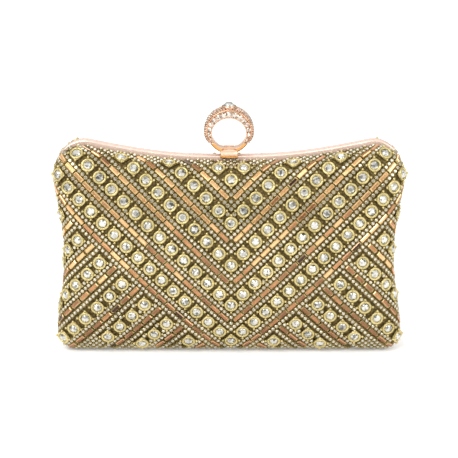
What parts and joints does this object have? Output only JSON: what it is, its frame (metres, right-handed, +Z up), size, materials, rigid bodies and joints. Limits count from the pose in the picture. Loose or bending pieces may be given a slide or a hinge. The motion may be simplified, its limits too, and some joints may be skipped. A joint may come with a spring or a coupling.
{
  "type": "evening bag",
  "caption": "Hard-case evening clutch with rhinestone chevrons on both faces, a rose-gold frame and a finger-ring clasp lever.",
  "frame": {"origin": "middle of the bag's footprint on the surface that the closed bag stands on", "axes": "+X to the right along the bag's length seen from the front, +Y to the back, +Z up"},
  "size_m": [0.1988, 0.056, 0.1435],
  "materials": {
    "crystal_trim": "clear rhinestones in pale gold cups with copper baguettes",
    "rose_gold": "polished rose-gold plate",
    "gold_plate": "polished gold plate",
    "shell_board": "moulded shell under dark olive backing",
    "satin": "champagne satin",
    "spring_steel": "bright steel",
    "clear_stone": "clear cut stone, foil backed"
  },
  "bodies": {
    "rear_half": {"rear_crystal_cover": "crystal_trim", "rear_shell": "shell_board", "rear_lining": "satin", "rear_frame": "rose_gold", "slip_pocket": "satin", "hinge_leaf_rear_left": "gold_plate", "hinge_leaf_rear_right": "gold_plate", "hinge_rivet_rear_left_1": "gold_plate", "hinge_rivet_rear_left_2": "gold_plate", "hinge_rivet_rear_right_1": "gold_plate", "hinge_rivet_rear_right_2": "gold_plate", "hinge_pin_left": "spring_steel", "hinge_pin_right": "spring_steel", "clasp_bracket": "gold_plate", "clasp_pin": "spring_steel", "clasp_leaf_spring": "spring_steel", "bracket_rivet_1": "gold_plate", "bracket_rivet_2": "gold_plate", "gusset_left": "satin", "gusset_right": "satin"},
    "front_half": {"front_crystal_cover": "crystal_trim", "front_shell": "shell_board", "front_lining": "satin", "front_frame": "rose_gold", "hinge_leaf_front_left": "gold_plate", "hinge_leaf_front_right": "gold_plate", "hinge_rivet_front_left_1": "gold_plate", "hinge_rivet_front_left_2": "gold_plate", "hinge_rivet_front_right_1": "gold_plate", "hinge_rivet_front_right_2": "gold_plate", "catch_plate": "gold_plate", "catch_rivet_1": "gold_plate", "catch_rivet_2": "gold_plate"},
    "clasp": {"clasp_lever": "gold_plate", "finger_ring": "rose_gold", "centre_bezel": "gold_plate", "centre_stone": "clear_stone"}
  },
  "joints": [
    {"name": "shell_hinge", "type": "hinge", "parent": "rear_half", "child": "front_half", "pos_m": [0, 0, 0.0016], "axis": [1, 0, 0], "range_deg": [0, 60], "deforming": ["gusset_left", "gusset_right"]},
    {"name": "clasp_pivot", "type": "hinge", "parent": "rear_half", "child": "clasp", "pos_m": [0, 0.0061, 0.1158], "axis": [-1, 0, 0], "range_deg": [0, 40], "stiffness_Nm_per_rad": 0.1, "springref_deg": -20.05}
  ]
}
